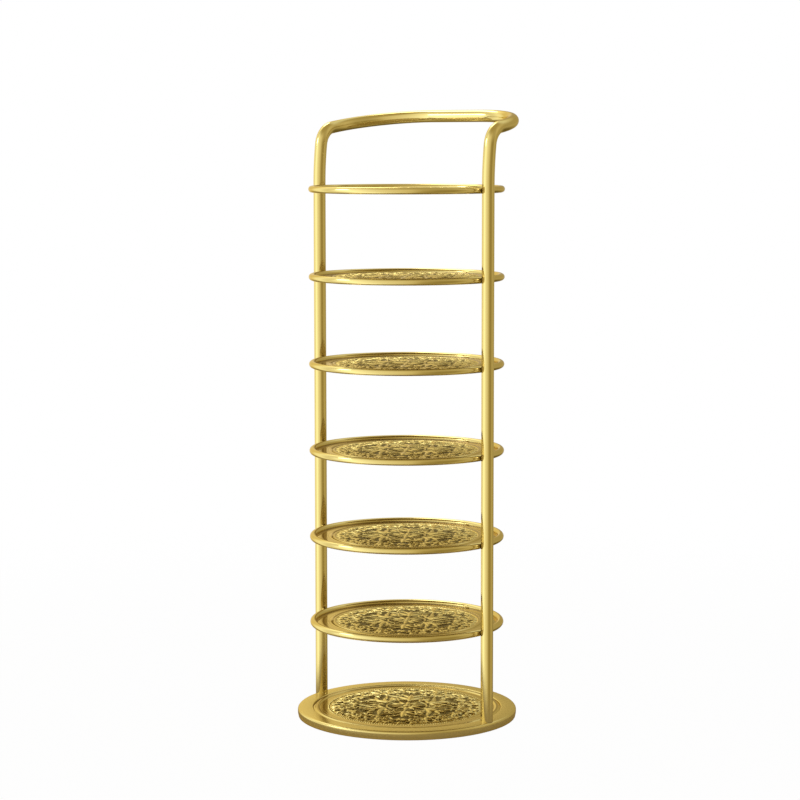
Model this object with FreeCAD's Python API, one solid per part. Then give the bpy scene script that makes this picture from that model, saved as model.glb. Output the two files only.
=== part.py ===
import FreeCAD, Part
import math
import os
from FreeCAD import Vector

# Seven tier shoe rack: a round base, six round trays and two posts that run on into a hoop handle
# Millimetres. X runs from the left post to the right post, Y to the back, Z up
# The origin is the centre of the base on the floor

# Trays
tray_count = 6
tray_r = 175.0              # outside of the ring tube
ring_tube_d = 12.0
ring_wall = 1.2
first_tray_z = 167.0        # underside of the lowest ring
tray_pitch = 156.0
plate_t = 0.8
plate_clearance = 0.2       # between the plate's edge and the ring tube
border_inset = 32.0         # ring tube to the middle of the raised border
border_w = 4.0
border_h = 1.0
tack_count = 8
tack_r = 2.6

# Posts and hoop handle, butt-welded end to end and ground flush
post_tube_d = 22.0
post_wall = 1.2
weld_root_gap = 0.2         # between a ring and a post
post_forward_deg = 4.5      # the posts stand a little in front of the middle
handle_rise = 12.0          # top ring's underside to the handle's ends, where the lean to the back starts
handle_lean_r = 515.0       # long gentle bend of the handle's legs
handle_lean_deg = 8.1
handle_bend_r = 36.3
handle_slope_deg = 8.8      # slope of the hoop, up to the back
handle_corner_r = 134.0
weld_bead_r = 5.0

# Base
rim_beyond_post = 1.3       # edge of the base outside the posts
rim_inside_post = 4.7       # flat rim on the inner side of the posts
base_h = 15.5               # floor to the top of the rim
base_sheet = 1.5
base_edge_r = 3.0
skirt_gap = 0.5             # floor to the outer wall
rim_drop = 1.5              # rim down to the base plate
rim_bend_r = 1.6
base_plate_t = 1.5
base_plate_gap = 0.5        # round the edge of the base plate
bead_inset = 7.5            # rim to the raised ring near the edge of the base plate
bead_w = 5.0
bead_h = 1.2
bottom_t = 3.0
bottom_gap = 1.5            # bottom plate to the outer wall

# Fasteners
bolt_d = 8.0
bolt_head_af = 13.0
bolt_head_h = 5.3
bolt_engagement = 14.0      # thread inside the plug
hole_clearance = 0.5        # added to a bolt's diameter for its hole
washer_t = 1.6
washer_d = 17.0
backing_t = 2.5
backing_l = 44.0
backing_clearance = 0.5     # backing plate to the bends of the rim
plug_h = 18.0
plug_clearance = 0.1
access_d = 24.0             # holes that let a socket reach the foot bolts
stud_count = 6
stud_inset = 4.5            # studs to the foot of the raised ring
ledge_beyond_stud = 6.0
stud_d = 4.0
stud_beyond_nut = 0.6
nut_af = 7.0
nut_h = 2.2
stud_washer_d = 9.0
stud_washer_t = 0.8
pad_count = 6
pad_inset = 3.0             # pads to the edge of the bottom plate
pad_d = 22.0
pad_turn_deg = 30.0
pad_screw_d = 4.0
pad_screw_head_d = 7.5
pad_screw_head_h = 2.2
pad_screw_sunk = 2.0        # floor to the screw's head

# Worked out
ring_tube_r = ring_tube_d / 2
post_tube_r = post_tube_d / 2
ring_mid_r = tray_r - ring_tube_r
ring_in_r = tray_r - ring_tube_d
post_axis_r = tray_r + weld_root_gap + post_tube_r
post_forward = math.radians(post_forward_deg)
post_x = post_axis_r * math.cos(post_forward)
post_y = -post_axis_r * math.sin(post_forward)
base_r = post_axis_r + post_tube_r + rim_beyond_post
rim_in_r = post_axis_r - post_tube_r - rim_inside_post
bead_r = rim_in_r - bead_inset
border_r = ring_in_r - border_inset
tray_zs = [first_tray_z + tray_pitch * i for i in range(tray_count)]
base_plate_top = base_h - rim_drop
ledge_top = base_plate_top - base_plate_t
bottom_top = ledge_top - base_sheet
bottom_z = bottom_top - bottom_t
rim_under = base_h - base_sheet
wall_in_r = base_r - base_sheet
bottom_r = wall_in_r - bottom_gap
pad_axis_r = bottom_r - pad_inset - pad_d / 2
backing_out_r = base_r - base_edge_r - backing_clearance
backing_in_r = rim_in_r + rim_bend_r + base_sheet + backing_clearance
stud_axis_r = bead_r - bead_w / 2 - bead_h - stud_inset
ledge_in_r = stud_axis_r - ledge_beyond_stud
handle_z = tray_zs[-1] + handle_rise

up = Vector(0, 0, 1)


def polar(radius, angle, z):
    """Point at a radius and an angle about the rack's axis."""
    return Vector(radius * math.cos(angle), radius * math.sin(angle), z)


def ring_of(count, first_deg=0.0):
    """Evenly spaced angles in radians."""
    return [math.radians(first_deg + 360.0 * i / count) for i in range(count)]


def fillet_points(a, b, c, radius):
    """Tangent points and turn of the arc that rounds the corner b."""
    u = (b - a).normalize()
    v = (c - b).normalize()
    turn = u.getAngle(v)
    reach = radius * math.tan(turn / 2)
    return b - u * reach, b + v * reach, u, v


def sheet_side(points, radii, shift):
    """One face line of a bent sheet, shifted to the left of its middle line in the r-z plane."""
    pieces = []
    start = points[0]
    for i in range(1, len(points) - 1):
        a, b, c = points[i - 1], points[i], points[i + 1]
        p, q, u, v = fillet_points(a, b, c, radii[i - 1])
        left_u = Vector(-u.z, 0, u.x)
        left_v = Vector(-v.z, 0, v.x)
        turn_left = u.x * v.z - u.z * v.x > 0
        centre = p + left_u * (radii[i - 1] if turn_left else -radii[i - 1])
        middle = (left_u + left_v).normalize()
        reach = radii[i - 1] - shift if turn_left else radii[i - 1] + shift
        outward = -1 if turn_left else 1
        pieces.append([start + left_u * shift, p + left_u * shift])
        pieces.append([p + left_u * shift, centre + middle * (outward * reach), q + left_v * shift])
        start = q
    v = (points[-1] - points[-2]).normalize()
    left_v = Vector(-v.z, 0, v.x)
    pieces.append([start + left_v * shift, points[-1] + left_v * shift])
    return pieces


def sheet_edges(pieces):
    edges = []
    for piece in pieces:
        if len(piece) == 2:
            edges.append(Part.LineSegment(*piece).toShape())
        else:
            edges.append(Part.Arc(*piece).toShape())
    return edges


def spun_sheet(path, radii, thickness):
    """Sheet of one thickness, given by its middle line as (r, z) pairs, spun about the axis."""
    points = [Vector(r, 0, z) for r, z in path]
    one = sheet_side(points, radii, thickness / 2)
    other = sheet_side(points, radii, -thickness / 2)
    ends = [[one[0][0], other[0][0]], [one[-1][-1], other[-1][-1]]]
    wire = Part.Wire(Part.__sortEdges__(sheet_edges(one + other + ends)))
    return Part.Face(wire).revolve(Vector(0, 0, 0), up, 360)


def spun_plate(edge_r, top, thickness, bead_mid, bead_width, bead_height):
    """Round plate with one raised ring pressed into it."""
    mid = top - thickness / 2
    slope = bead_height
    rise_out, rise_in = bead_mid + bead_width / 2, bead_mid - bead_width / 2
    path = [
        (0.0, mid),
        (rise_in - slope, mid),
        (rise_in, mid + bead_height),
        (rise_out, mid + bead_height),
        (rise_out + slope, mid),
        (edge_r, mid),
    ]
    return spun_sheet(path, [thickness] * 4, thickness)


def rod(radius, height, base, direction=up):
    return Part.makeCylinder(radius, height, base, direction)


def hexagon(across_flats, height, base):
    corner = across_flats / math.sqrt(3)
    points = [base + polar(corner, a, 0) for a in ring_of(6)]
    return Part.Face(Part.makePolygon(points + points[:1])).extrude(up * height)


def washer(outer_d, hole_d, thickness, base):
    return rod(outer_d / 2, thickness, base).cut(rod(hole_d / 2, thickness, base))


def group(solids):
    return Part.makeCompound(solids)


def post_feet(z):
    return [Vector(-post_x, post_y, z), Vector(post_x, post_y, z)]


def arc_back(start, from_deg, to_deg, radius):
    """Arc that bends to the back, between two angles from upright."""
    def after(angle):
        turn, first = math.radians(angle), math.radians(from_deg)
        rise = radius * (math.sin(turn) - math.sin(first))
        return start + Vector(0, radius * (math.cos(first) - math.cos(turn)), rise)
    return [start, after((from_deg + to_deg) / 2), after(to_deg)]


def handle_path():
    """Right half of the handle's middle line: leg with a gentle lean, bend to the back, sloping corner."""
    slope = math.radians(handle_slope_deg)
    run = Vector(0, math.cos(slope), math.sin(slope))
    lean = arc_back(Vector(post_x, post_y, handle_z), 0.0, handle_lean_deg, handle_lean_r)
    bend = arc_back(lean[-1], handle_lean_deg, 90.0 - handle_slope_deg, handle_bend_r)
    bend_end = bend[-1]
    half = math.sqrt(0.5)
    corner_mid = bend_end + run * (handle_corner_r * half)
    corner_mid -= Vector(handle_corner_r * (1 - half), 0, 0)
    corner_end = bend_end + run * handle_corner_r - Vector(handle_corner_r, 0, 0)
    return [lean, bend, [bend_end, corner_mid, corner_end]]


def mirrored(piece):
    return [Vector(-p.x, p.y, p.z) for p in reversed(piece)]


def handle_wire():
    right = handle_path()
    bar_end = right[-1][-1]
    bar = [bar_end, Vector(-bar_end.x, bar_end.y, bar_end.z)]
    left = [mirrored(piece) for piece in reversed(right)]
    return Part.Wire(sheet_edges(right + [bar] + left))


def tube_along(wire, radius):
    circle = Part.Circle(Vector(post_x, post_y, handle_z), up, radius)
    return wire.makePipeShell([Part.Wire(circle.toShape())], True, False)


def hoop_handle():
    wire = handle_wire()
    outer = tube_along(wire, post_tube_r)
    inner = tube_along(wire, post_tube_r - post_wall)
    tube = outer.cut(inner)
    section = math.pi * (post_tube_r ** 2 - (post_tube_r - post_wall) ** 2)
    print("tube volume over section times length:", round(tube.Volume / (section * wire.Length), 4))
    return tube


def post(foot):
    height = handle_z - base_h
    return rod(post_tube_r, height, foot).cut(rod(post_tube_r - post_wall, height, foot))


def tray_ring(z):
    centre = Vector(0, 0, z + ring_tube_r)
    outer = Part.makeTorus(ring_mid_r, ring_tube_r, centre, up)
    bore = Part.makeTorus(ring_mid_r, ring_tube_r - ring_wall, centre, up)
    return outer.cut(bore)


def tray_plate(z):
    edge_r = ring_in_r - plate_clearance
    return spun_plate(edge_r, z + ring_tube_r, plate_t, border_r, border_w, border_h)


def post_welds(z):
    """Bead in the crevice between a ring and each post."""
    level = z + ring_tube_r
    ring = Part.makeTorus(ring_mid_r, ring_tube_r, Vector(0, 0, level), up)
    beads = []
    for foot in post_feet(level):
        touch = foot * ((tray_r + weld_root_gap / 2) / post_axis_r)
        touch.z = level
        post = rod(post_tube_r, 4 * weld_bead_r, foot - up * (2 * weld_bead_r))
        bead = Part.makeSphere(weld_bead_r, touch).cut(post).cut(ring)
        beads.append(max(bead.Solids, key=lambda s: s.Volume))
    return group(beads)


def plate_tacks(z):
    """Small tack welds under the plate's edge, against the ring tube."""
    level = z + ring_tube_r
    under = level - plate_t
    ring = Part.makeTorus(ring_mid_r, ring_tube_r, Vector(0, 0, level), up)
    above = rod(tray_r, ring_tube_d, Vector(0, 0, under))
    tacks = []
    for angle in ring_of(tack_count, 180.0 / tack_count):
        blob = Part.makeSphere(tack_r, polar(ring_in_r, angle, under))
        tacks += blob.cut(ring).cut(above).Solids
    return group(tacks)


def base_pan():
    """Outer wall, flat rim and ledge in one sheet, with a hole under each post."""
    half = base_sheet / 2
    wall_r = base_r - half
    rim_z = base_h - half
    drop_r = rim_in_r + half
    ledge_z = ledge_top - half
    path = [
        (wall_r, skirt_gap),
        (wall_r, rim_z),
        (drop_r, rim_z),
        (drop_r, ledge_z),
        (ledge_in_r, ledge_z),
    ]
    pan = spun_sheet(path, [base_edge_r - half, rim_bend_r - half, rim_bend_r - half], base_sheet)
    for foot in post_feet(rim_under):
        pan = pan.cut(rod((bolt_d + hole_clearance) / 2, base_sheet, foot))
    for angle in ring_of(stud_count):
        hole = rod((stud_d + hole_clearance) / 2, base_sheet, polar(stud_axis_r, angle, bottom_top))
        pan = pan.cut(hole)
    return pan


def base_plate():
    return spun_plate(rim_in_r - base_plate_gap, base_plate_top, base_plate_t, bead_r, bead_w, bead_h)


def base_studs():
    foot = bottom_z - stud_washer_t - nut_h - stud_beyond_nut
    return group([rod(stud_d / 2, ledge_top - foot, polar(stud_axis_r, a, foot)) for a in ring_of(stud_count)])


def base_washers():
    z = bottom_z - stud_washer_t
    return group([washer(stud_washer_d, stud_d, stud_washer_t, polar(stud_axis_r, a, z))
                  for a in ring_of(stud_count)])


def base_nuts():
    z = bottom_z - stud_washer_t - nut_h
    nuts = []
    for angle in ring_of(stud_count):
        place = polar(stud_axis_r, angle, z)
        nuts.append(hexagon(nut_af, nut_h, place).cut(rod(stud_d / 2, nut_h, place)))
    return group(nuts)


def bottom_plate():
    plate = rod(bottom_r, bottom_t, Vector(0, 0, bottom_z))
    for foot in post_feet(bottom_z):
        plate = plate.cut(rod(access_d / 2, bottom_t, foot))
    for angle in ring_of(stud_count):
        plate = plate.cut(rod((stud_d + hole_clearance) / 2, bottom_t, polar(stud_axis_r, angle, bottom_z)))
    for angle in ring_of(pad_count, pad_turn_deg):
        plate = plate.cut(rod(pad_screw_d / 2, bottom_t, polar(pad_axis_r, angle, bottom_z)))
    return plate


def post_plugs():
    plugs = []
    for foot in post_feet(base_h):
        plug = rod(post_tube_r - post_wall - plug_clearance, plug_h, foot)
        plugs.append(plug.cut(rod(bolt_d / 2, plug_h, foot)))
    return group(plugs)


def backing_plates():
    """Thick plates that spread the bolts' load under the rim, curved with it."""
    z = rim_under - backing_t
    ring = washer(2 * backing_out_r, 2 * backing_in_r, backing_t, Vector(0, 0, z))
    plates = []
    for foot in post_feet(z):
        corner = Vector(foot.x - backing_l / 2, foot.y - backing_l / 2, z)
        plate = ring.common(Part.makeBox(backing_l, backing_l, backing_t, corner))
        plates.append(plate.cut(rod((bolt_d + hole_clearance) / 2, backing_t, foot)))
    return group(plates)


def foot_washers():
    z = rim_under - backing_t - washer_t
    return group([washer(washer_d, bolt_d + hole_clearance, washer_t, foot) for foot in post_feet(z)])


def foot_bolts():
    head_top = rim_under - backing_t - washer_t
    bolts = []
    for foot in post_feet(head_top - bolt_head_h):
        head = hexagon(bolt_head_af, bolt_head_h, foot)
        shank = rod(bolt_d / 2, base_h + bolt_engagement - foot.z, foot)
        bolts.append(head.fuse(shank).removeSplitter())
    return group(bolts)


def floor_pads():
    """Rubber pads, counterbored so that the screws stay off the floor."""
    pads = []
    for angle in ring_of(pad_count, pad_turn_deg):
        foot = polar(pad_axis_r, angle, 0)
        pad = rod(pad_d / 2, bottom_z, foot)
        pad = pad.cut(rod(pad_screw_d / 2, bottom_z, foot))
        pads.append(pad.cut(rod(pad_screw_head_d / 2, pad_screw_sunk + pad_screw_head_h, foot)))
    return group(pads)


def pad_screws():
    screws = []
    for angle in ring_of(pad_count, pad_turn_deg):
        foot = polar(pad_axis_r, angle, pad_screw_sunk)
        head = rod(pad_screw_head_d / 2, pad_screw_head_h, foot)
        shank = rod(pad_screw_d / 2, bottom_top - pad_screw_sunk, foot)
        screws.append(head.fuse(shank).removeSplitter())
    return group(screws)


def all_nodes():
    left_foot, right_foot = post_feet(base_h)
    nodes = {
        "post_left": post(left_foot),
        "post_right": post(right_foot),
        "hoop_handle": hoop_handle(),
        "post_plugs": post_plugs(),
        "backing_plates": backing_plates(),
        "foot_washers": foot_washers(),
        "foot_bolts": foot_bolts(),
        "base_pan": base_pan(),
        "base_plate": base_plate(),
        "base_studs": base_studs(),
        "base_washers": base_washers(),
        "base_nuts": base_nuts(),
        "bottom_plate": bottom_plate(),
        "floor_pads": floor_pads(),
        "pad_screws": pad_screws(),
    }
    for number, z in enumerate(tray_zs, start=1):
        nodes[f"tray_ring_{number}"] = tray_ring(z)
        nodes[f"tray_plate_{number}"] = tray_plate(z)
        nodes[f"post_welds_{number}"] = post_welds(z)
        nodes[f"plate_tacks_{number}"] = plate_tacks(z)
    return nodes


os.makedirs("parts", exist_ok=True)
for name, shape in all_nodes().items():
    print(f"{name}: {len(shape.Solids)} solids, {shape.Volume:.1f} mm3, valid {shape.isValid()}")
    shape.exportStep(f"parts/{name}.step")
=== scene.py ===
import bpy
import math
import numpy as np
from mathutils import Matrix, Vector


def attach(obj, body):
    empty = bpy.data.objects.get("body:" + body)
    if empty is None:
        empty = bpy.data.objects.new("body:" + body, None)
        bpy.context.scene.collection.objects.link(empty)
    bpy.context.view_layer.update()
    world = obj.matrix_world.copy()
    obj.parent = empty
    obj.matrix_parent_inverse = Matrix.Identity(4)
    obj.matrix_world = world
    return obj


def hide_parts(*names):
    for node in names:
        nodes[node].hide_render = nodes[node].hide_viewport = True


# Round gold shoe rack: seven tiers, two posts that run on into a hoop handle
# Shapes are worked out in millimetres and put into the meshes in metres
# X runs from the left post to the right post, Y to the back, Z up

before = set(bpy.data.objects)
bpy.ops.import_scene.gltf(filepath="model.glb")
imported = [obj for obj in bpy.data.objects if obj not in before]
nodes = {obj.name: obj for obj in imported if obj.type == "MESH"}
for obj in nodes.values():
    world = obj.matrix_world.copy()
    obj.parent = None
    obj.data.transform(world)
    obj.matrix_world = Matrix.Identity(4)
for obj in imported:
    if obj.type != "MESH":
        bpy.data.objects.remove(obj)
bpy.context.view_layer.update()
mm = 0.001
print("frame loaded:", len(nodes), "nodes")

# Camera

camera = {
    "place": (2.5225, -3.4528, 1.0403),
    "heading": 36.3125,      # degrees from +Y, turned to the left
    "lookDown": 6.2084,
    "roll": -0.055,
    "lens": 107.72,
    "sensor": 36.0,
    "clipEnd": 100,
}


# Turned about the upright, then tilted down from level, then rolled about its own view
def makeCamera():
    data = bpy.data.cameras.new("rackCamera")
    data.lens = camera["lens"]
    data.sensor_width = camera["sensor"]
    data.clip_end = camera["clipEnd"]
    cam = bpy.data.objects.new("rackCamera", data)
    bpy.context.scene.collection.objects.link(cam)
    turn = Matrix.Rotation(math.radians(camera["heading"]), 4, "Z")
    tilt = Matrix.Rotation(math.radians(90 - camera["lookDown"]), 4, "X")
    roll = Matrix.Rotation(math.radians(camera["roll"]), 4, "Z")
    cam.matrix_world = Matrix.Translation(camera["place"]) @ turn @ tilt @ roll
    bpy.context.scene.camera = cam


makeCamera()
bpy.context.scene.view_settings.view_transform = "Standard"
print("camera set")

# Meshes from grids


# Four corners for each cell of a grid of rows by columns, either way closed into a loop
def gridQuads(rows, columns, loopRows=False, loopColumns=True, start=0):
    r = np.arange(rows if loopRows else rows - 1)[:, None]
    c = np.arange(columns if loopColumns else columns - 1)[None, :]
    r2, c2 = (r + 1) % rows, (c + 1) % columns
    corners = [r * columns + c, r * columns + c2, r2 * columns + c2, r2 * columns + c]
    return start + np.stack(np.broadcast_arrays(*corners), -1).reshape(-1, 4)


# Triangles from one point to a ring of points
def fanTriangles(centre, first, count, flip=False):
    a = first + np.arange(count)
    b = first + (np.arange(count) + 1) % count
    middle = np.full(count, centre)
    return np.stack([middle, b, a] if flip else [middle, a, b], -1)


# Points in millimetres with quads and triangles become one object, smooth up to a sharp angle
def makeObject(name, points, quads, triangles=None, sharpDeg=40.0, values=None):
    triangles = np.zeros((0, 3), int) if triangles is None else triangles
    corners = np.concatenate([quads.ravel(), triangles.ravel()]).astype(np.int32)
    quadStarts, triangleStarts = np.arange(len(quads)) * 4, quads.size + np.arange(len(triangles)) * 3
    starts = np.concatenate([quadStarts, triangleStarts]).astype(np.int32)
    mesh = bpy.data.meshes.new(name)
    mesh.vertices.add(len(points))
    mesh.vertices.foreach_set("co", (np.asarray(points) * mm).astype(np.float32).ravel())
    mesh.loops.add(len(corners))
    mesh.loops.foreach_set("vertex_index", corners)
    mesh.polygons.add(len(starts))
    mesh.polygons.foreach_set("loop_start", starts)
    mesh.update(calc_edges=True)
    for key, column in (values or {}).items():
        attribute = mesh.attributes.new(key, "FLOAT", "POINT")
        attribute.data.foreach_set("value", column.astype(np.float32))
    mesh.shade_smooth()
    mesh.set_sharp_from_angle(angle=math.radians(sharpDeg))
    mesh.validate()
    obj = bpy.data.objects.new(name, mesh)
    bpy.context.scene.collection.objects.link(obj)
    return obj


# Tubes

tube = {
    "radius": 10.98,
    "wall": 1.2,
    "sides": 56,
    "postRows": 12,
    "postAxis": 186.2,
    "postForward": 4.5,       # degrees in front of the middle
    "foot": 15.5,             # top of the base rim
    "joint": 959.0,           # butt weld between post and handle, whose legs lean to the back from here
    "leanRadius": 515.0,
    "lean": 8.1,
    "bendRadius": 36.3,
    "hoopSlope": 8.8,
    "cornerRadius": 134.0,
    "leanSteps": 14,
    "bendSteps": 26,
    "cornerSteps": 44,
}
ring = {
    "middle": 169.0,
    "tube": 6.0,
    "firstLevel": 173.0,      # middle of the lowest ring's tube
    "pitch": 156.0,
    "count": 6,
    "around": 240,
    "sides": 32,
}


# Turns vectors about an axis by each of an array of angles, by Rodrigues' formula
def turned(vector, axis, angles):
    c, s = np.cos(angles)[:, None], np.sin(angles)[:, None]
    return vector * c + np.cross(axis, vector) * s + axis * (axis @ vector) * (1 - c)


# One arc: start plus normal times r(1 - cos t) plus heading times r sin t; heading and side turn with t
def arcRun(start, heading, normal, side, radius, turn, steps):
    t = np.linspace(0, turn, steps + 1)
    axis = np.cross(heading, normal)
    points = start + radius * ((1 - np.cos(t))[:, None] * normal + np.sin(t)[:, None] * heading)
    return points, turned(heading, axis, t), turned(side, axis, t)


# Where the right or left post's axis meets the floor
def postFoot(side):
    lead = math.radians(tube["postForward"])
    return tube["postAxis"] * np.array([side * math.cos(lead), -math.sin(lead), 0])


# Middle line of a straight post, with its direction and a direction across it
def postLine(side):
    rows = tube["postRows"]
    heights = np.linspace(tube["foot"], tube["joint"], rows)[:, None]
    up, right = np.array([0, 0, 1.0]), np.array([1.0, 0, 0])
    return postFoot(side) + heights * up, np.tile(up, (rows, 1)), np.tile(right, (rows, 1))


# Middle line of the hoop handle: its right half with a lean, a bend and a corner, then its mirror image
def hoopLine():
    up, back, right = np.array([0, 0, 1.0]), np.array([0, 1.0, 0]), np.array([1.0, 0, 0])
    leanTurn = math.radians(tube["lean"])
    lean, leanAim, leanSide = arcRun(postFoot(1) + tube["joint"] * up, up, back, right,
                                     tube["leanRadius"], leanTurn, tube["leanSteps"])
    square = math.cos(leanTurn) * back - math.sin(leanTurn) * up
    bendTurn = math.radians(90 - tube["hoopSlope"]) - leanTurn
    bend, bendAim, bendSide = arcRun(lean[-1], leanAim[-1], square, leanSide[-1],
                                     tube["bendRadius"], bendTurn, tube["bendSteps"])
    corner, cornerAim, cornerSide = arcRun(bend[-1], bendAim[-1], -right, bendSide[-1],
                                           tube["cornerRadius"], math.pi / 2, tube["cornerSteps"])
    points = np.concatenate([lean, bend[1:], corner[1:]])
    aims = np.concatenate([leanAim, bendAim[1:], cornerAim[1:]])
    sides = np.concatenate([leanSide, bendSide[1:], cornerSide[1:]])
    flip = np.array([-1.0, 1, 1])
    return (np.concatenate([points, points[::-1] * flip]),
            np.concatenate([aims, -aims[::-1] * flip]),
            np.concatenate([sides, sides[::-1] * flip]))


# Circle carried along a line: point plus r(cos a times side plus sin a times the third direction)
def sweptTube(points, aims, sides, radius, count):
    a = np.linspace(0, 2 * math.pi, count, endpoint=False)
    third = np.cross(aims, sides)
    around = np.cos(a)[None, :, None] * sides[:, None, :] + np.sin(a)[None, :, None] * third[:, None, :]
    return (points[:, None, :] + radius * around).reshape(-1, 3)


# Open tube with a wall: outer and inner circles along a line, closed by flat rings at both ends
def makeTube(name, line, material, replaced):
    points, aims, sides = line
    count, rows = tube["sides"], len(points)
    outside = sweptTube(points, aims, sides, tube["radius"], count)
    inside = sweptTube(points, aims, sides, tube["radius"] - tube["wall"], count)
    size = rows * count
    outer = gridQuads(rows, count)
    inner = gridQuads(rows, count, start=size)[:, ::-1]
    a = np.arange(count)
    b = (a + 1) % count
    last = size - count
    firstEnd = np.stack([a, size + a, size + b, b], -1)
    lastEnd = np.stack([last + a, last + b, size + last + b, size + last + a], -1)
    quads = np.concatenate([outer, inner, firstEnd, lastEnd])
    obj = makeObject(name, np.concatenate([outside, inside]), quads)
    return dress(obj, material, "gold_tube", replaced)


# Ring of round tube: (R + r cos b) out from the axis at angle a, r sin b above the ring's middle
def makeTrayRing(number, level, material):
    a = np.linspace(0, 2 * math.pi, ring["around"], endpoint=False)[:, None]
    b = np.linspace(0, 2 * math.pi, ring["sides"], endpoint=False)[None, :]
    out = ring["middle"] + ring["tube"] * np.cos(b)
    z = level + ring["tube"] * np.sin(b)
    points = np.stack(np.broadcast_arrays(out * np.cos(a), out * np.sin(a), z), -1)
    quads = gridQuads(ring["around"], ring["sides"], loopRows=True)
    obj = makeObject(f"trayRing{number}", points.reshape(-1, 3), quads)
    return dress(obj, material, "gold_tube", f"tray_ring_{number}")


# Base pan

pan = {
    "wallOut": 198.46,
    "top": 15.5,
    "floorGap": 0.5,
    "tuck": 1.2,              # how far the wall's lower edge is turned in
    "tuckRise": 5.5,
    "tuckBend": 14.0,
    "sheet": 1.5,
    "edgeBend": 4.4,
    "rimIn": 170.5,
    "rimBend": 1.6,
    "ledgeTop": 12.5,
    "ledgeIn": 148.8,
    "around": 288,
    "bendSteps": 9,
}


# Middle line of a bent sheet with rounded corners, with the direction square to it at each point
def bentLine(corners, radii, steps):
    corners = np.array(corners, float)
    points, squares = [corners[:1]], []
    for i in range(1, len(corners) - 1):
        u = corners[i] - corners[i - 1]
        v = corners[i + 1] - corners[i]
        u, v = u / np.linalg.norm(u), v / np.linalg.norm(v)
        cross = u[0] * v[1] - u[1] * v[0]
        turn = math.atan2(cross, u @ v)
        reach = radii[i - 1] * math.tan(abs(turn) / 2)
        sideways = math.copysign(1, turn) * np.array([-u[1], u[0]])
        t = np.linspace(0, abs(turn), steps + 1)[:, None]
        start = corners[i] - u * reach
        points.append(start + radii[i - 1] * (np.sin(t) * u + (1 - np.cos(t)) * sideways))
        aims = np.cos(t) * u + np.sin(t) * sideways
        square = np.stack([-aims[:, 1], aims[:, 0]], -1)
        if not squares:
            squares.append(square[:1])
        squares.append(square)
    points.append(corners[-1:])
    squares.append(squares[-1][-1:])
    return np.concatenate(points), np.concatenate(squares)


# Closed outline of a sheet: its middle line moved half a thickness either way, then spun about the axis
def spunSheet(name, corners, radii, thickness, steps, around):
    line, square = bentLine(corners, radii, steps)
    outline = np.concatenate([line + square * thickness / 2, (line - square * thickness / 2)[::-1]])
    a = np.linspace(0, 2 * math.pi, around, endpoint=False)[:, None]
    r, z = outline[None, :, 0], outline[None, :, 1]
    points = np.stack(np.broadcast_arrays(r * np.cos(a), r * np.sin(a), z), -1).reshape(-1, 3)
    return makeObject(name, points, gridQuads(around, len(outline), loopRows=True))


# One bent sheet: foot turned in, wall, rim, a small drop, and the ledge that carries the plate
def makeBasePan(material):
    half = pan["sheet"] / 2
    wall, rim = pan["wallOut"] - half, pan["top"] - half
    drop, ledge = pan["rimIn"] + half, pan["ledgeTop"] - half
    corners = [(wall - pan["tuck"], pan["floorGap"]), (wall, pan["floorGap"] + pan["tuckRise"]),
               (wall, rim), (drop, rim), (drop, ledge), (pan["ledgeIn"], ledge)]
    radii = [pan["tuckBend"], pan["edgeBend"] - half, pan["rimBend"] - half, pan["rimBend"] - half]
    obj = spunSheet("basePan", corners, radii, pan["sheet"], pan["bendSteps"], pan["around"])
    return dress(obj, material, "gold_sheet", "base_pan")


# Embossed plates

ornament = {
    "repeats": 6,
    "columns": 648,           # round the plate, a multiple of twice the repeats
    "rows": 108,
    "firstRow": 1.2,          # innermost ring of points
    "overreach": 1.012,       # the fine rows go this much past the pattern
    "reach": 126.0,           # the pattern is drawn for a plate of this reach
    "widest": 9.0,            # no stroke reaches further than this from its line
    "soften": 1.1,            # power that rounds a stroke's flanks
    "groundBelow": 0.64,      # share of the tallest leaf under which the stippled ground with its painted shade shows
    "groundInset": 2.0,       # where the ground ends inside the reach
    "fade": 3.0,              # over which ground and spun band fade in
    "sharp": 60.0,            # degrees between faces above which an edge stays sharp
}
trayPlate = {
    "edge": 162.8,
    "thickness": 0.8,
    "reach": 127.0,
    "height": 1.5,            # of the tallest leaf
    "groundShade": 1.0,             # how much painted shade, stipple and roughness the ground between the leaves gets
    "border": 131.0,
    "borderWidth": 4.0,
    "borderHeight": 1.0,
    "outerRows": (127.6, 128.0, 128.3, 128.6, 129.0, 130.0, 132.0, 133.0, 133.4, 133.7, 134.0, 142.0,
                  152.0, 162.5),
    "underRows": 20,
    "underShare": 0.25,       # height of the relief on the underside, as a share of the top's
}
basePlate = {
    "edge": 170.0,
    "thickness": 1.5,
    "top": 14.0,
    "reach": 137.0,
    "height": 2.6,
    "groundShade": 0.9,
    "border": 163.0,
    "borderWidth": 5.0,
    "borderHeight": 1.5,
    "outerRows": (139.5, 145.0, 151.0, 158.0, 159.0, 159.4, 159.8, 160.2, 160.5, 163.0, 165.5, 165.8,
                  166.2, 166.6, 167.0, 169.6),
    "underRows": 6,
    "underShare": 0.0,
    "beadRing": 142.0,
    "beadCount": 200,
    "beadRadius": 1.9,
    "beadHeight": 1.1,
    "beadSunk": 0.3,          # how far a bead's foot lies under the plate's face
    "beadSides": 8,
    "beadTiers": 3,
}

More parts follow.
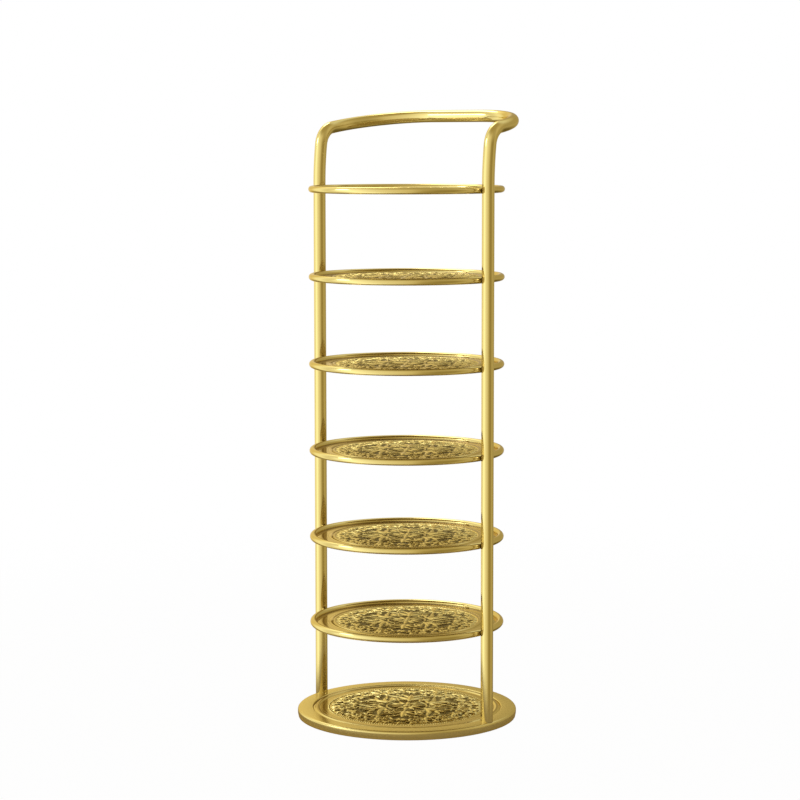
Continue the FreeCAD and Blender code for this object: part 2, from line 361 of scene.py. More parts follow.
# Strokes of half a repeat: the palmette's axis lies at 0 and the pointed panel's at half a repeat
# A leaf's row: distance and angle of its foot, aim, length, bend, half width, height, samples
# Its angles are in degrees from the axis that it belongs to, and heights are shares of the tallest leaf
palmetteLeaves = (
    (9.5, 0, 0, 21, 0, 4.7, 0.9, 18),           # star in the plate's middle
    (37, 0, 0, 43, 0, 6.4, 1.0, 30),            # middle leaf
    (41, 2.0, 30, 34, 34, 4.9, 0.9, 26),        # leaves that fan out and curl
    (40, 5.0, 62, 24, 50, 3.9, 0.8, 20),
    (61, 3.2, 24, 21, 30, 4.2, 0.85, 18),
)
panelLeaves = (
    (9.5, 0, 0, 21, 0, 4.7, 0.9, 18),
    (37, 0, -40, 24, 52, 2.5, 0.8, 22),         # outline of the panel
    (59, -10.6, 14, 28, 30, 2.8, 0.9, 24),
    (46, 0, 0, 21, 0, 4.6, 0.85, 18),           # bud in it
    (53, -2, -52, 8, 20, 2.8, 0.7, 10),
    (83, 0, 0, 20, 0, 4.4, 0.9, 16),            # three-lobed leaf beyond it
    (87, -2.2, -44, 13, 40, 3.6, 0.8, 14),
    (105, 0, 0, 12, 0, 3.6, 0.8, 12),
)
tipLeaves = (
    (114.5, 0, 0, 12.5, 0, 4.4, 0.95, 12),
    (117.5, 1.3, 48, 9, -30, 2.9, 0.8, 10),
)
tipRow = {"step": 10, "count": 4, "berryDistance": 121.5, "berryAngle": 5, "berry": 2.7, "berryHeight": 0.75}
heart = {"radius": 8.5, "height": 1.0}
# step over distance is the angle in degrees between two samples
innerBand = {"distance": 33.5, "width": 2.1, "height": 0.6, "fromDeg": -5.0, "toDeg": 36.0, "step": 35.0}
curl = {"distance": 76, "angle": 13.2, "startDeg": 200, "turns": 0.85, "outerRadius": 5.6,
        "innerRadius": 3.2, "width": 2.1, "height": 0.75, "berry": 2.3, "berryHeight": 0.7}
outerScroll = {"distance": 100, "angle": 15.4, "startDeg": 128, "turns": -1.2, "outerRadius": 15.5,
               "innerRadius": 9.5, "width": 3.4, "height": 1.0}
# leaves along the outer scroll's back: place round it and length
scrollLeaves = ((196, 10), (158, 10), (104, 11), (70, 13), (36, 12), (4, 12), (-30, 13), (-66, 11))
scrollLeaf = {"turnDeg": -44, "bendDeg": 34, "width": 3.7, "height": 0.9, "samples": 14}
eyeFlower = {"petals": 5, "reach": 6.4, "width": 3.0, "height": 0.95, "firstDeg": 20}
axisFlower = {"petals": 6, "reach": 8.6, "width": 3.7, "height": 0.9, "firstDeg": 30}
axisFlowerDistance = 98.5
leafShape = {"from": 0.12, "span": 0.83, "ease": 0.8, "leastWidth": 0.35, "leastHeight": 0.5}
scrollShape = {"step": 1.1, "ease": 0.85, "widthLoss": 0.35, "heightLoss": 0.15}
flowerShape = {"petalStart": 1.8, "samples": 9, "heart": 3.0, "heartRise": 1.2}


# Point on the plate at a distance from the middle and an angle in degrees
def at(distance, degrees):
    return np.array([distance * math.cos(math.radians(degrees)), distance * math.sin(math.radians(degrees))])


# One raised stroke: samples of a curve, each with its half width and height
def stroke(xy, width, height):
    return np.column_stack([xy, np.broadcast_to(width, len(xy)), np.broadcast_to(height, len(xy))])


# Leaf: a curve that starts at a point, bends steadily, and swells and closes like a sine
def leaf(start, aimDeg, length, bendDeg, width, height, samples):
    t = np.linspace(0, 1, samples)
    aim = np.radians(aimDeg + bendDeg * t)
    step = length / (samples - 1)
    moves = np.stack([np.cos(aim), np.sin(aim)], -1) * step
    xy = start + np.concatenate([np.zeros((1, 2)), np.cumsum(moves[:-1], 0)])
    swell = np.sin(math.pi * (leafShape["from"] + leafShape["span"] * t ** leafShape["ease"]))
    low = leafShape["leastHeight"]
    return stroke(xy, width * swell + leafShape["leastWidth"], height * (low + (1 - low) * swell))


# Leaves of a table, with their angles counted from one axis
def leavesFrom(axisDeg, table):
    return [leaf(at(distance, axisDeg + angle), axisDeg + aim, *rest)
            for distance, angle, aim, *rest in table]


# Scroll: a spiral whose radius and width shrink evenly as it turns
def scroll(centre, startDeg, turns, outerRadius, innerRadius, width, height):
    samples = int(abs(turns) * 2 * math.pi * outerRadius / scrollShape["step"])
    t = np.linspace(0, 1, samples)
    a = np.radians(startDeg) + 2 * math.pi * turns * t
    radius = outerRadius + (innerRadius - outerRadius) * t ** scrollShape["ease"]
    xy = centre + np.stack([radius * np.cos(a), radius * np.sin(a)], -1)
    return stroke(xy, width * (1 - scrollShape["widthLoss"] * t),
                  height * (1 - scrollShape["heightLoss"] * t))


# Scroll from its values: its centre and the stroke itself
def scrollFrom(facts):
    centre = at(facts["distance"], facts["angle"])
    return centre, scroll(centre, facts["startDeg"], facts["turns"], facts["outerRadius"],
                          facts["innerRadius"], facts["width"], facts["height"])


# Ring round the plate's middle, drawn over a little more than half a repeat
def band(facts):
    distance = facts["distance"]
    angles = np.radians(np.arange(facts["fromDeg"], facts["toDeg"], facts["step"] / distance))
    xy = distance * np.stack([np.cos(angles), np.sin(angles)], -1)
    return stroke(xy, facts["width"], facts["height"])


# Round bump: a stroke of one sample
def dot(centre, radius, height):
    return stroke(np.array([centre]), radius, height)


# Petals like straight leaves round a raised dot
def flower(centre, facts):
    petals, height = facts["petals"], facts["height"]
    turns = [facts["firstDeg"] + 360 * i / petals for i in range(petals)]
    parts = [leaf(centre + at(flowerShape["petalStart"], turn), turn, facts["reach"], 0.0, facts["width"],
                  height, flowerShape["samples"]) for turn in turns]
    return parts + [dot(centre, flowerShape["heart"], height * flowerShape["heartRise"])]


# Strokes of half a repeat, from the axis of a palmette to the axis of a pointed panel
def ornamentStrokes():
    half = 180 / ornament["repeats"]
    parts = [dot(at(0, 0), heart["radius"], heart["height"]), band(innerBand)]
    parts += leavesFrom(0, palmetteLeaves) + leavesFrom(half, panelLeaves)
    # curl and berry between palmette and panel
    centre, turnedIn = scrollFrom(curl)
    parts += [turnedIn, dot(centre, curl["berry"], curl["berryHeight"])]
    # outer scroll with leaves along its back, and the flower in its eye
    eye, turnedIn = scrollFrom(outerScroll)
    parts += [turnedIn] + flower(eye, eyeFlower)
    parts += [leaf(eye + at(outerScroll["outerRadius"], aim), aim + scrollLeaf["turnDeg"], length,
                   scrollLeaf["bendDeg"], scrollLeaf["width"], scrollLeaf["height"], scrollLeaf["samples"])
              for aim, length in scrollLeaves]
    parts += flower(at(axisFlowerDistance, 0), axisFlower)
    # row of tips round the edge, with berries between them
    for k in range(tipRow["count"]):
        parts += leavesFrom(tipRow["step"] * k, tipLeaves)
    parts += [dot(at(tipRow["berryDistance"], tipRow["step"] * k + tipRow["berryAngle"]), tipRow["berry"],
                  tipRow["berryHeight"]) for k in range(tipRow["count"] - 1)]
    return parts


# The same strokes mirrored and turned, as far as they reach into the half repeat
def withNeighbours(parts):
    turn = math.radians(360 / ornament["repeats"])
    copies = []
    for part in parts:
        for sign, angle in ((1, 0), (-1, 0), (-1, turn), (1, -turn), (1, turn)):
            x, y = part[:, 0], part[:, 1] * sign
            c, s = math.cos(angle), math.sin(angle)
            moved = part.copy()
            moved[:, 0], moved[:, 1] = c * x - s * y, s * x + c * y
            copies.append(moved)
    return copies


# Height at each grid point: the tallest stroke there, each a bump (1 - d^2/w^2)^soften across its line
def ornamentHeights(distances):
    half = ornament["columns"] // (2 * ornament["repeats"])
    angles = np.linspace(0, math.pi / ornament["repeats"], half + 1)
    x = (distances[:, None] * np.cos(angles)).ravel()
    y = (distances[:, None] * np.sin(angles)).ravel()
    tallest = np.zeros(len(x))
    widest = ornament["widest"]
    for part in withNeighbours(ornamentStrokes()):
        near = (x > part[:, 0].min() - widest) & (x < part[:, 0].max() + widest)
        near &= (y > part[:, 1].min() - widest) & (y < part[:, 1].max() + widest)
        if not near.any():
            continue
        away = (x[near, None] - part[:, 0]) ** 2 + (y[near, None] - part[:, 1]) ** 2
        bump = part[:, 3] * np.clip(1 - away / part[:, 2] ** 2, 0, None) ** ornament["soften"]
        tallest[near] = np.maximum(tallest[near], bump.max(1))
    sector = tallest.reshape(len(distances), half + 1)
    k = np.arange(ornament["columns"]) % (2 * half)
    return sector[:, np.minimum(k, 2 * half - k)]


# Raised ring: flat top, with sides that rise over its own height
def raisedRing(distances, facts):
    flank = facts["borderHeight"]
    inside = (facts["borderWidth"] / 2 + flank - np.abs(distances - facts["border"])) / flank
    s = np.clip(inside, 0, 1)
    return facts["borderHeight"] * s * s * (3 - 2 * s)


# How far each point lies in the stippled ground that gets painted shade: most between the leaves, 0 on them
# and outside the pattern
def groundShare(distances, relief, facts):
    low = 1 - np.clip(relief / (ornament["groundBelow"] * facts["height"]), 0, 1)
    inside = np.clip((facts["reach"] - ornament["groundInset"] - distances) / ornament["fade"], 0, 1)
    return facts["groundShade"] * low * low * (3 - 2 * low) * inside


# How plain each row is: 0 up to the pattern's reach, then rising to 1 over a few millimetres
def plainShare(distances, facts):
    return np.clip((distances - facts["reach"]) / ornament["fade"], 0, 1)


# Plate as a grid of distance by angle: ornament on the top, a fainter print of it one thickness below
def plateParts(facts, level):
    scale = facts["reach"] / ornament["reach"]
    count = ornament["columns"]
    inner = np.linspace(ornament["firstRow"], facts["reach"] * ornament["overreach"], ornament["rows"])
    topRows = np.concatenate([inner, facts["outerRows"]])
    heights = ornamentHeights(topRows / scale) * facts["height"]
    # fewer rows are enough for the underside
    pick = np.unique(np.linspace(0, ornament["rows"] - 1, facts["underRows"]).astype(int))
    outerPick = np.arange(0, len(facts["outerRows"]), 2) + ornament["rows"]
    pick = np.concatenate([pick, outerPick])
    underRows, underHeights = topRows[pick], heights[pick] * facts["underShare"]
    a = np.linspace(0, 2 * math.pi, count, endpoint=False)[None, :]
    edge = np.array([facts["edge"]])
    thickness = facts["thickness"]
    softEdge = facts["edge"] - topRows[-1]
    # rings of points from the middle of the top over the edge to the middle of the underside
    blocks, grounds, plains = [], [], []
    for rows, relief, drop in ((topRows, heights, 0.0), (edge, np.zeros((1, count)), softEdge),
                               (edge, np.zeros((1, count)), thickness - softEdge),
                               (underRows[::-1], underHeights[::-1], thickness)):
        r = rows[:, None]
        z = level - drop + raisedRing(r, facts) + relief
        blocks.append(np.stack(np.broadcast_arrays(r * np.cos(a), r * np.sin(a), z), -1).reshape(-1, 3))
        grounds.append((groundShare(r, relief, facts) * (drop == 0)).ravel())
        plains.append(np.repeat(plainShare(rows, facts), count))
    points = np.concatenate(blocks)
    rows = len(points) // count
    topHeart = [[0, 0, level + facts["height"]]]
    lowHeart = [[0, 0, level + facts["height"] * facts["underShare"] - thickness]]
    points = np.concatenate([points, topHeart, lowHeart])
    quads = gridQuads(rows, count)
    fans = np.concatenate([fanTriangles(len(points) - 2, 0, count),
                           fanTriangles(len(points) - 1, (rows - 1) * count, count, flip=True)])
    marks = {"ground": np.concatenate(grounds + [[0.0, 0.0]]), "plain": np.concatenate(plains + [[0.0, 0.0]])}
    return points, quads, fans, marks


# All the trays have one shape, moved up to their levels
def makeTrayPlate(number, level, material, shape):
    points, quads, fans, marks = shape
    obj = makeObject(f"trayPlate{number}", points + [0, 0, level], quads, fans, ornament["sharp"], marks)
    return dress(obj, material, "gold_sheet", f"tray_plate_{number}")


# Low domes in a ring: radius times cos e out and height times sin e up, closed underneath
def beadParts(facts, level):
    around, tiers, foot = facts["beadSides"], facts["beadTiers"], -facts["beadSunk"]
    a = np.linspace(0, 2 * math.pi, around, endpoint=False)[None, :]
    e = np.linspace(0, math.pi / 2, tiers, endpoint=False)[:, None]
    out = facts["beadRadius"] * np.cos(e)
    z = facts["beadHeight"] * np.sin(e)
    dome = np.stack(np.broadcast_arrays(out * np.cos(a), out * np.sin(a), z), -1)
    dome = np.concatenate([dome.reshape(-1, 3), [[0, 0, facts["beadHeight"]], [0, 0, foot]]])
    dome[:around, 2] = foot
    quads = gridQuads(tiers, around)
    fans = np.concatenate([fanTriangles(len(dome) - 2, (tiers - 1) * around, around),
                           fanTriangles(len(dome) - 1, 0, around, flip=True)])
    turn = np.linspace(0, 2 * math.pi, facts["beadCount"], endpoint=False)
    middles = np.stack([facts["beadRing"] * np.cos(turn), facts["beadRing"] * np.sin(turn),
                        np.full(len(turn), level)], -1)
    shift = (np.arange(facts["beadCount"]) * len(dome))[:, None, None]
    points = (middles[:, None, :] + dome[None]).reshape(-1, 3)
    return points, (quads[None] + shift).reshape(-1, 4), (fans[None] + shift).reshape(-1, 3)


# The base's plate and its ring of beads are one piece
def makeBasePlate(material):
    points, quads, fans, marks = plateParts(basePlate, basePlate["top"])
    beadPoints, beadQuads, beadFans = beadParts(basePlate, basePlate["top"])
    start = len(points)
    marks = {key: np.concatenate([value, np.zeros(len(beadPoints))]) for key, value in marks.items()}
    points = np.concatenate([points, beadPoints])
    quads = np.concatenate([quads, beadQuads + start])
    fans = np.concatenate([fans, beadFans + start])
    obj = makeObject("basePlate", points, quads, fans, ornament["sharp"], marks)
    return dress(obj, material, "gold_sheet", "base_plate")


# Materials


# Node group whose sockets are all plain numbers
def newGroup(name, inputs, outputs):
    group = bpy.data.node_groups.new(name, "ShaderNodeTree")
    for labels, direction in ((inputs, "INPUT"), (outputs, "OUTPUT")):
        for label in labels:
            group.interface.new_socket(label, in_out=direction, socket_type="NodeSocketFloat")
    return group, group.nodes.new("NodeGroupInput"), group.nodes.new("NodeGroupOutput")


# Shader node with its settings and the values of its sockets
def addNode(tree, kind, settings=(), values=()):
    node = tree.nodes.new(kind)
    for key, value in dict(settings).items():
        setattr(node, key, value)
    for key, value in dict(values).items():
        node.inputs[key].default_value = value
    return node


# One calculation; each side is a number or another node's output
def maths(tree, operation, first, second=None):
    node = addNode(tree, "ShaderNodeMath", {"operation": operation})
    for socket, value in zip(node.inputs, (first, second)):
        if value is None:
            continue
        if isinstance(value, (int, float)):
            socket.default_value = value
        else:
            tree.links.new(value, socket)
    return node.outputs[0]


# A number or colour between two others; each may be a value or another node's output
def mixed(tree, share, first, second, kind="RGBA"):
    mix = addNode(tree, "ShaderNodeMix", {"data_type": kind})
    for label, value in (("Factor", share), ("A", first), ("B", second)):
        if isinstance(value, (float, list, tuple)):
            mix.inputs[label].default_value = value
        else:
            tree.links.new(value, mix.inputs[label])
    return mix.outputs["Result"]


noises = {
    "polish": {"Detail": 4.0, "Roughness": 0.55},
    "polishSpan": {"From Min": 0.3, "From Max": 0.7},   # noise from here to here covers all the drift
    "spin": {"Detail": 4.0, "Scale": 1.0},
    "grain": {"Detail": 3.0, "Roughness": 0.6},
}


# Slow drift of polish: soft noise on the object's own coordinates, between two roughnesses
def makePolishGroup():
    group, given, out = newGroup("polishDrift", ("Scale", "Low", "High"), ("Roughness", "Drift"))
    place = addNode(group, "ShaderNodeTexCoord")
    noise = addNode(group, "ShaderNodeTexNoise", values=noises["polish"])
    spread = addNode(group, "ShaderNodeMapRange", values=noises["polishSpan"])
    group.links.new(place.outputs["Object"], noise.inputs["Vector"])
    group.links.new(given.outputs["Scale"], noise.inputs["Scale"])
    group.links.new(noise.outputs["Fac"], spread.inputs["Value"])
    group.links.new(given.outputs["Low"], spread.inputs["To Min"])
    group.links.new(given.outputs["High"], spread.inputs["To Max"])
    group.links.new(spread.outputs["Result"], out.inputs["Roughness"])
    group.links.new(noise.outputs["Fac"], out.inputs["Drift"])
    return group


# Fine rings left by spinning: noise along the distance from the axis alone
def makeSpinGroup():
    group, given, out = newGroup("spinLines", ("Lines",), ("Height",))
    place = addNode(group, "ShaderNodeTexCoord")
    split = addNode(group, "ShaderNodeSeparateXYZ")
    group.links.new(place.outputs["Object"], split.inputs[0])
    squares = [maths(group, "MULTIPLY", split.outputs[axis], split.outputs[axis]) for axis in ("X", "Y")]
    away = maths(group, "SQRT", maths(group, "ADD", *squares))
    noise = addNode(group, "ShaderNodeTexNoise", {"noise_dimensions": "1D"}, noises["spin"])
    group.links.new(maths(group, "MULTIPLY", away, given.outputs["Lines"]), noise.inputs["W"])
    group.links.new(noise.outputs["Fac"], out.inputs["Height"])
    return group


# Fine grain: small noise as a height
def makeGrainGroup():
    group, given, out = newGroup("fineGrain", ("Scale",), ("Height",))
    place = addNode(group, "ShaderNodeTexCoord")
    noise = addNode(group, "ShaderNodeTexNoise", values=noises["grain"])
    group.links.new(place.outputs["Object"], noise.inputs["Vector"])
    group.links.new(given.outputs["Scale"], noise.inputs["Scale"])
    group.links.new(noise.outputs["Fac"], out.inputs["Height"])
    return group


def placeGroup(tree, group, values):
    return addNode(tree, "ShaderNodeGroup", {"node_tree": group}, values)


def newMaterial(name, fixed):
    material = bpy.data.materials.new(name)
    material.use_nodes = True
    shader = material.node_tree.nodes["Principled BSDF"]
    for key, value in fixed.items():
        shader.inputs[key].default_value = value
    return material, material.node_tree, shader


def addBump(tree, shader, height, strength, distance):
    bump = addNode(tree, "ShaderNodeBump", values={"Strength": strength, "Distance": distance})
    tree.links.new(height, bump.inputs["Height"])
    tree.links.new(bump.outputs["Normal"], shader.inputs["Normal"])


gold = {
    "light": (0.90, 0.77, 0.32),
    "deep": (0.87, 0.72, 0.26),
    "paintedShade": (0.05, 0.032, 0.008),   # painted shade: near-black gold for the ground between the leaves, and for the welds
    "weldShade": (0.05, 0.035, 0.015),     # painted shade on the welds where the rings meet the posts
    "glancing": (1.0, 0.90, 0.60),    # tint at a glancing view, so that flat rims don't turn grey
    "mirrored": (0.58, 0.50, 0.33),   # painted reflection: gold seen in a reflection gets this dimmer, paler colour, so gold's reflections of itself are darker and not orange
    "grooveShade": (0.58, 0.44, 0.15),     # painted shade in the low parts of the spun lines, where the plate is plain
}
goldFixed = {"Metallic": 1.0, "Specular Tint": (*gold["glancing"], 1)}

# Finishes: tones and roughness drift over patches of a scale, and grain or spun lines are a bump
tubeFinish = {"scale": 9.0, "low": 0.06, "high": 0.11, "dark": gold["deep"], "light": gold["light"],
              "grain": 700.0, "strength": 0.02, "distance": 0.0002}
panFinish = {"scale": 11.0, "low": 0.20, "high": 0.26, "dark": gold["deep"], "light": gold["light"],
             "lines": 900.0, "strength": 0.12, "distance": 0.0004}
# welds are painted near-black: painted shade at the ring-post joints
weldFinish = {"scale": 160.0, "low": 0.35, "high": 0.50, "dark": gold["weldShade"], "light": gold["paintedShade"],
              "grain": 420.0, "strength": 0.35, "distance": 0.0006}
zincFinish = {"scale": 60.0, "low": 0.28, "high": 0.45, "dark": (0.50, 0.52, 0.54),
              "light": (0.70, 0.72, 0.73), "grain": 500.0, "strength": 0.1, "distance": 0.0003}
paintFinish = {"scale": 40.0, "low": 0.42, "high": 0.55, "dark": (0.010, 0.010, 0.011),
               "light": (0.020, 0.020, 0.021), "grain": 900.0, "strength": 0.25, "distance": 0.0003}
rubberFinish = {"scale": 90.0, "low": 0.75, "high": 0.9, "dark": (0.010, 0.010, 0.010),
                "light": (0.022, 0.021, 0.020), "grain": 1200.0, "strength": 0.3, "distance": 0.0003}
# the plates have both, the lines where they are plain and the stipple in the ground
plateFinish = {"scale": 14.0, "low": 0.08, "high": 0.13, "dark": gold["deep"], "light": gold["light"],
               "lines": 320.0, "strength": 0.22, "distance": 0.0006,
               "stipple": 620.0, "stippleStrength": 0.7, "stippleDistance": 0.0008, "groundRough": 0.30,
               "grooveFrom": 0.55, "grooveFull": 0.38}


# Colour of the gold, and a painted reflection colour, dimmer and paler, where a reflection meets gold again
def linkGold(tree, shader, colour):
    again = addNode(tree, "ShaderNodeLightPath").outputs["Is Glossy Ray"]
    # painted reflection: glossy rays see the dimmer mirrored colour instead of the gold
    tree.links.new(mixed(tree, again, colour, (*gold["mirrored"], 1)), shader.inputs["Base Color"])


# Drifting polish of a finish: its dark and light tone mixed by the drift, and its roughness
def addPolish(tree, facts):
    values = {"Scale": facts["scale"], "Low": facts["low"], "High": facts["high"]}
    polish = placeGroup(tree, polishGroup, values)
    tone = mixed(tree, polish.outputs["Drift"], (*facts["dark"], 1), (*facts["light"], 1))
    return tone, polish.outputs["Roughness"]


# Finish with drifting polish and fine grain or spun rings; where asked, gold seen in a reflection gets the
# painted, dimmer reflection colour
def makeFinish(name, facts, fixed, paintedReflection=False):
    material, tree, shader = newMaterial(name, fixed)
    tone, rough = addPolish(tree, facts)
    if paintedReflection:
        linkGold(tree, shader, tone)
    else:
        tree.links.new(tone, shader.inputs["Base Color"])
    tree.links.new(rough, shader.inputs["Roughness"])
    if "lines" in facts:
        fine = placeGroup(tree, spinGroup, {"Lines": facts["lines"]})
    else:
        fine = placeGroup(tree, grainGroup, {"Scale": facts["grain"]})
    addBump(tree, shader, fine.outputs["Height"], facts["strength"], facts["distance"])
    return material


# Polished plate: spun rings where it is plain, with painted shade in their low lines, and a stippled ground
# between the leaves, darkened with painted shade
def makeGoldPlate():
    material, tree, shader = newMaterial("goldPlate", goldFixed)
    metal, rough = addPolish(tree, plateFinish)
    ground, plain = [addNode(tree, "ShaderNodeAttribute", {"attribute_name": key}).outputs["Fac"]
                     for key in ("ground", "plain")]
    lines = placeGroup(tree, spinGroup, {"Lines": plateFinish["lines"]}).outputs["Height"]
    # painted shade: the low parts of the spun lines are darkened where the plate is plain
    low = addNode(tree, "ShaderNodeMapRange", values={"From Min": plateFinish["grooveFrom"],
                                                      "From Max": plateFinish["grooveFull"]})
    tree.links.new(lines, low.inputs["Value"])
    grooveShadeMask = maths(tree, "MULTIPLY", low.outputs["Result"], plain)
    # painted shade: the ground between the leaves is darkened to near-black gold
    groundShade = mixed(tree, ground, metal, (*gold["paintedShade"], 1))
    linkGold(tree, shader, mixed(tree, grooveShadeMask, groundShade, (*gold["grooveShade"], 1)))
    rough = mixed(tree, ground, rough, plateFinish["groundRough"], "FLOAT")
    tree.links.new(rough, shader.inputs["Roughness"])
    points = placeGroup(tree, grainGroup, {"Scale": plateFinish["stipple"]}).outputs["Height"]
    depth = plateFinish["stippleStrength"] * plateFinish["stippleDistance"] / plateFinish["distance"]
    pits = maths(tree, "MULTIPLY", maths(tree, "MULTIPLY", points, ground), depth)
    rings = maths(tree, "MULTIPLY", maths(tree, "MULTIPLY", lines, plain), plateFinish["strength"])
    addBump(tree, shader, maths(tree, "ADD", rings, pits), 1.0, plateFinish["distance"])
    return material


# A new piece gets its finish, hides the node it stands for, and rides on the one body
def dress(obj, material, slotName, *replaced):
    obj.data.materials.append(material)
    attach(obj, "root")
    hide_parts(*replaced)
    return obj


# A node that keeps its CAD shape gets a better finish
def finishNode(name, material):
    data = nodes[name].data
    data.materials.clear()
    data.materials.append(material)


polishGroup, spinGroup, grainGroup = makePolishGroup(), makeSpinGroup(), makeGrainGroup()
goldTube = makeFinish("goldTube", tubeFinish, goldFixed, paintedReflection=True)
goldPan = makeFinish("goldPan", panFinish, goldFixed, paintedReflection=True)
goldPlate = makeGoldPlate()
goldWeld = makeFinish("goldWeld", weldFinish, goldFixed)
zincSteel = makeFinish("zincSteel", zincFinish, {"Metallic": 1.0})
bottomPaint = makeFinish("bottomPaint", paintFinish, {"Metallic": 0.0})
padRubber = makeFinish("padRubber", rubberFinish, {"Metallic": 0.0})
print("finishes made")

makeTube("postLeft", postLine(-1), goldTube, "post_left")
makeTube("postRight", postLine(1), goldTube, "post_right")
makeTube("hoopHandle", hoopLine(), goldTube, "hoop_handle")
print("posts and handle made")
trayShape = plateParts(trayPlate, 0.0)
for number in range(1, ring["count"] + 1):
    level = ring["firstLevel"] + ring["pitch"] * (number - 1)
    makeTrayRing(number, level, goldTube)
    makeTrayPlate(number, level, goldPlate, trayShape)
    finishNode(f"post_welds_{number}", goldWeld)
    finishNode(f"plate_tacks_{number}", goldWeld)
print("trays made")
makeBasePan(goldPan)
makeBasePlate(goldPlate)
for name in ("post_plugs", "backing_plates", "foot_washers", "foot_bolts", "base_studs", "base_washers",
             "base_nuts", "pad_screws"):
    finishNode(name, zincSteel)
finishNode("bottom_plate", bottomPaint)
finishNode("floor_pads", padRubber)
print("base made")

# Studio

studio = {
    "floorHalf": 2.4,
    "floorColour": (0.50, 0.40, 0.27),
    "floorRough": 0.9,
    "floorFade": (0.9, 2.3),    # metres from the axis over which the floor fades into the white background
    "floorSeenGlow": 0.985,     # share of white background in the floor, to the eye
    "floorMirroredGlow": 0.04,  # and in reflections
    "floorMirroredFade": 3.2,   # how much sooner it fades there
    "whiteLevel": 1.0,
    "mattLevel": 0.55,          # what matt surfaces get from the world
    "dimTint": (1.0, 0.79, 0.38),   # dim walls are beige, bright ones white
    "tintFrom": 1.1,
    "tintFull": 0.35,
    # level of the room round the rack, by degrees from the camera; minus is the picture's left
    "walls": ((-180, 0.30), (-140, 0.36), (-112, 0.60), (-92, 1.10), (-72, 1.35), (-50, 1.05), (-32, 0.90),
              (-8, 0.76), (6, 0.66), (20, 0.44), (38, 0.32), (60, 0.33), (80, 0.54), (96, 0.46), (125, 0.34),
              (180, 0.30)),
    # level of the room behind the rack, by the height of the direction
    "behind": ((-1.0, 0.16), (-0.35, 0.22), (-0.13, 0.60), (0.0, 0.65), (0.10, 0.585), (0.23, 0.60),
               (0.40, 0.60), (0.55, 0.84), (0.68, 1.08), (0.84, 1.04), (0.95, 0.55), (1.0, 0.42)),
    "behindSpan": (0.05, 0.6),  # each span is where one part of the room starts and where it is full
    "behindTilt": 0.30,         # share by which its left side is brighter and its right side darker
    "tiltReach": 0.045,         # how far to the side the tilt is full
    "behindLeft": 1.05,         # and far round on the left, at the edges of the posts
    "behindLeftSpan": (0.45, 0.75),
    "ceiling": 0.42,
    "ceilingSpan": (0.6, 0.97),
    "upperLevel": 0.72,
    "upperShare": 0.35,         # how much of that level is mixed into the upper walls
    "upperSpan": (0.12, 0.5),
    "lamps": (
        ("keyLamp", (-2.6, -2.4, 2.4), 1.3, 14.0),
        ("topLamp", (-1.4, 0.95, 2.9), 1.0, 7.0),
    ),
    "aim": (0.0, 0.0, 0.55),
}


# Light path flags: the eye's own, and one for a reflection or a refraction
def rayFlags(tree):
    path = addNode(tree, "ShaderNodeLightPath")
    shiny = maths(tree, "MAXIMUM", path.outputs["Is Glossy Ray"], path.outputs["Is Transmission Ray"])
    return path.outputs["Is Camera Ray"], shiny


# Two shaders mixed by a share
def mixShaders(tree, share, first, second):
    mix = addNode(tree, "ShaderNodeMixShader")
    for socket, value in zip(mix.inputs, (share, first, second)):
        tree.links.new(value, socket)
    return mix.outputs[0]


# White light of one level, as an emission or a background
def whiteLight(tree, kind, level):
    return addNode(tree, kind, values={"Color": (1, 1, 1, 1), "Strength": level}).outputs[0]


# Smooth step from 0 to 1 over a span
def smoothMask(tree, value, span):
    values = {"From Min": span[0], "From Max": span[1]}
    mask = addNode(tree, "ShaderNodeMapRange", {"interpolation_type": "SMOOTHSTEP"}, values)
    tree.links.new(value, mask.inputs["Value"])
    return mask.outputs["Result"]


# Pale floor that takes the shadow, turns white to the eye and is clear far out
def makeFloor():
    half = studio["floorHalf"]
    corners = [(-half, -half, 0), (half, -half, 0), (half, half, 0), (-half, half, 0)]
    mesh = bpy.data.meshes.new("floor")
    mesh.from_pydata(corners, [], [(0, 1, 2, 3)])
    obj = bpy.data.objects.new("floor", mesh)
    bpy.context.scene.collection.objects.link(obj)
    material, tree, shader = newMaterial("floorPale", {"Base Color": (*studio["floorColour"], 1),
                                                       "Roughness": studio["floorRough"],
                                                       "Specular IOR Level": 0.0})
    seen, shiny = rayFlags(tree)
    share = maths(tree, "ADD", maths(tree, "MULTIPLY", seen, studio["floorSeenGlow"]),
                  maths(tree, "MULTIPLY", shiny, studio["floorMirroredGlow"]))
    glow = whiteLight(tree, "ShaderNodeEmission", studio["whiteLevel"])
    lit = mixShaders(tree, share, shader.outputs[0], glow)
    place = addNode(tree, "ShaderNodeTexCoord")
    away = addNode(tree, "ShaderNodeVectorMath", {"operation": "LENGTH"})
    tree.links.new(place.outputs["Object"], away.inputs[0])
    sooner = maths(tree, "ADD", maths(tree, "MULTIPLY", shiny, studio["floorMirroredFade"]), 1.0)
    fade = smoothMask(tree, maths(tree, "MULTIPLY", away.outputs["Value"], sooner), studio["floorFade"])
    clear = addNode(tree, "ShaderNodeBsdfTransparent").outputs[0]
    tree.links.new(mixShaders(tree, fade, lit, clear), tree.nodes["Material Output"].inputs["Surface"])
    mesh.materials.append(material)


# Colour of a wall of the room: its level, tinted where it is dim
def roomColour(level):
    dim = min(max((studio["tintFrom"] - level) / (studio["tintFrom"] - studio["tintFull"]), 0), 1)
    return [level * (1 - dim * (1 - tint)) for tint in studio["dimTint"]] + [1]


# Dot product of the direction with a fixed one
def along(tree, vector, aim):
    toward = addNode(tree, "ShaderNodeVectorMath", {"operation": "DOT_PRODUCT"})
    toward.inputs[1].default_value = aim
    tree.links.new(vector, toward.inputs[0])
    return toward.outputs["Value"]


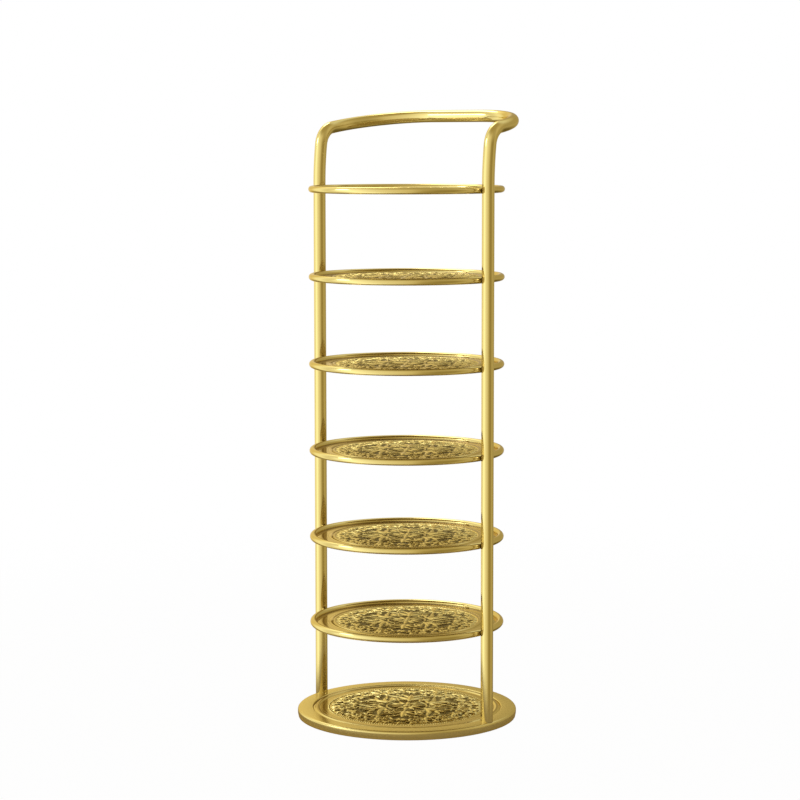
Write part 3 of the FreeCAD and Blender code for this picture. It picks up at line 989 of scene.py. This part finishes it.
# Room colours read off a ramp of stops as a value runs from the first stop to the last
def roomRamp(tree, value, stops):
    low, high = stops[0][0], stops[-1][0]
    spread = addNode(tree, "ShaderNodeMapRange", values={"From Min": low, "From Max": high})
    tree.links.new(value, spread.inputs["Value"])
    ramp = addNode(tree, "ShaderNodeValToRGB")
    while len(ramp.color_ramp.elements) < len(stops):
        ramp.color_ramp.elements.new(0.5)
    for element, (position, level) in zip(ramp.color_ramp.elements, stops):
        element.position = (position - low) / (high - low)
        element.color = roomColour(level)
    tree.links.new(spread.outputs["Result"], ramp.inputs["Fac"])
    return ramp.outputs["Color"]


# World: white to the eye; in reflections a studio, bright on the left, dimmer right, with a glow behind
def makeWorld():
    world = bpy.data.worlds.new("studio")
    world.use_nodes = True
    bpy.context.scene.world = world
    tree = world.node_tree
    tree.nodes.clear()
    vector = addNode(tree, "ShaderNodeTexCoord").outputs["Generated"]
    heading = math.radians(camera["heading"])
    toCamera = along(tree, vector, (math.sin(heading), -math.cos(heading), 0))
    toRight = along(tree, vector, (math.cos(heading), math.sin(heading), 0))
    height = along(tree, vector, (0, 0, 1))
    degrees = maths(tree, "DEGREES", maths(tree, "ARCTAN2", toRight, toCamera))
    walls = roomRamp(tree, degrees, studio["walls"])
    upper = mixed(tree, studio["upperShare"], walls, roomColour(studio["upperLevel"]))
    room = mixed(tree, smoothMask(tree, height, studio["upperSpan"]), walls, upper)
    room = mixed(tree, smoothMask(tree, height, studio["ceilingSpan"]), room, roomColour(studio["ceiling"]))
    # what lies behind the rack, brighter on its left
    reach, slope = studio["tiltReach"], studio["behindTilt"]
    tilt = addNode(tree, "ShaderNodeMapRange", values={"From Min": -reach, "From Max": reach,
                                                       "To Min": 1 + slope, "To Max": 1 - slope})
    tree.links.new(toRight, tilt.inputs["Value"])
    tilted = addNode(tree, "ShaderNodeVectorMath", {"operation": "SCALE"})
    tree.links.new(roomRamp(tree, height, studio["behind"]), tilted.inputs[0])
    tree.links.new(tilt.outputs["Result"], tilted.inputs["Scale"])
    leftMask = smoothMask(tree, maths(tree, "MULTIPLY", toRight, -1.0), studio["behindLeftSpan"])
    behind = mixed(tree, leftMask, tilted.outputs[0], roomColour(studio["behindLeft"]))
    backMask = smoothMask(tree, maths(tree, "MULTIPLY", toCamera, -1.0), studio["behindSpan"])
    mirrored = addNode(tree, "ShaderNodeBackground")
    tree.links.new(mixed(tree, backMask, room, behind), mirrored.inputs["Color"])
    matt = whiteLight(tree, "ShaderNodeBackground", studio["mattLevel"])
    white = whiteLight(tree, "ShaderNodeBackground", studio["whiteLevel"])
    seen, shiny = rayFlags(tree)
    both = mixShaders(tree, seen, mixShaders(tree, shiny, matt, mirrored.outputs[0]), white)
    tree.links.new(both, addNode(tree, "ShaderNodeOutputWorld").inputs["Surface"])


# Soft round lamps that all face one point
def makeLamps():
    aim = Vector(studio["aim"])
    for name, place, size, watts in studio["lamps"]:
        data = bpy.data.lights.new(name, "AREA")
        data.shape = "DISK"
        data.size = size
        data.energy = watts
        lamp = bpy.data.objects.new(name, data)
        lamp.location = place
        lamp.rotation_euler = (aim - Vector(place)).to_track_quat("-Z", "Y").to_euler()
        bpy.context.scene.collection.objects.link(lamp)


makeFloor()
makeWorld()
makeLamps()
print("studio set")
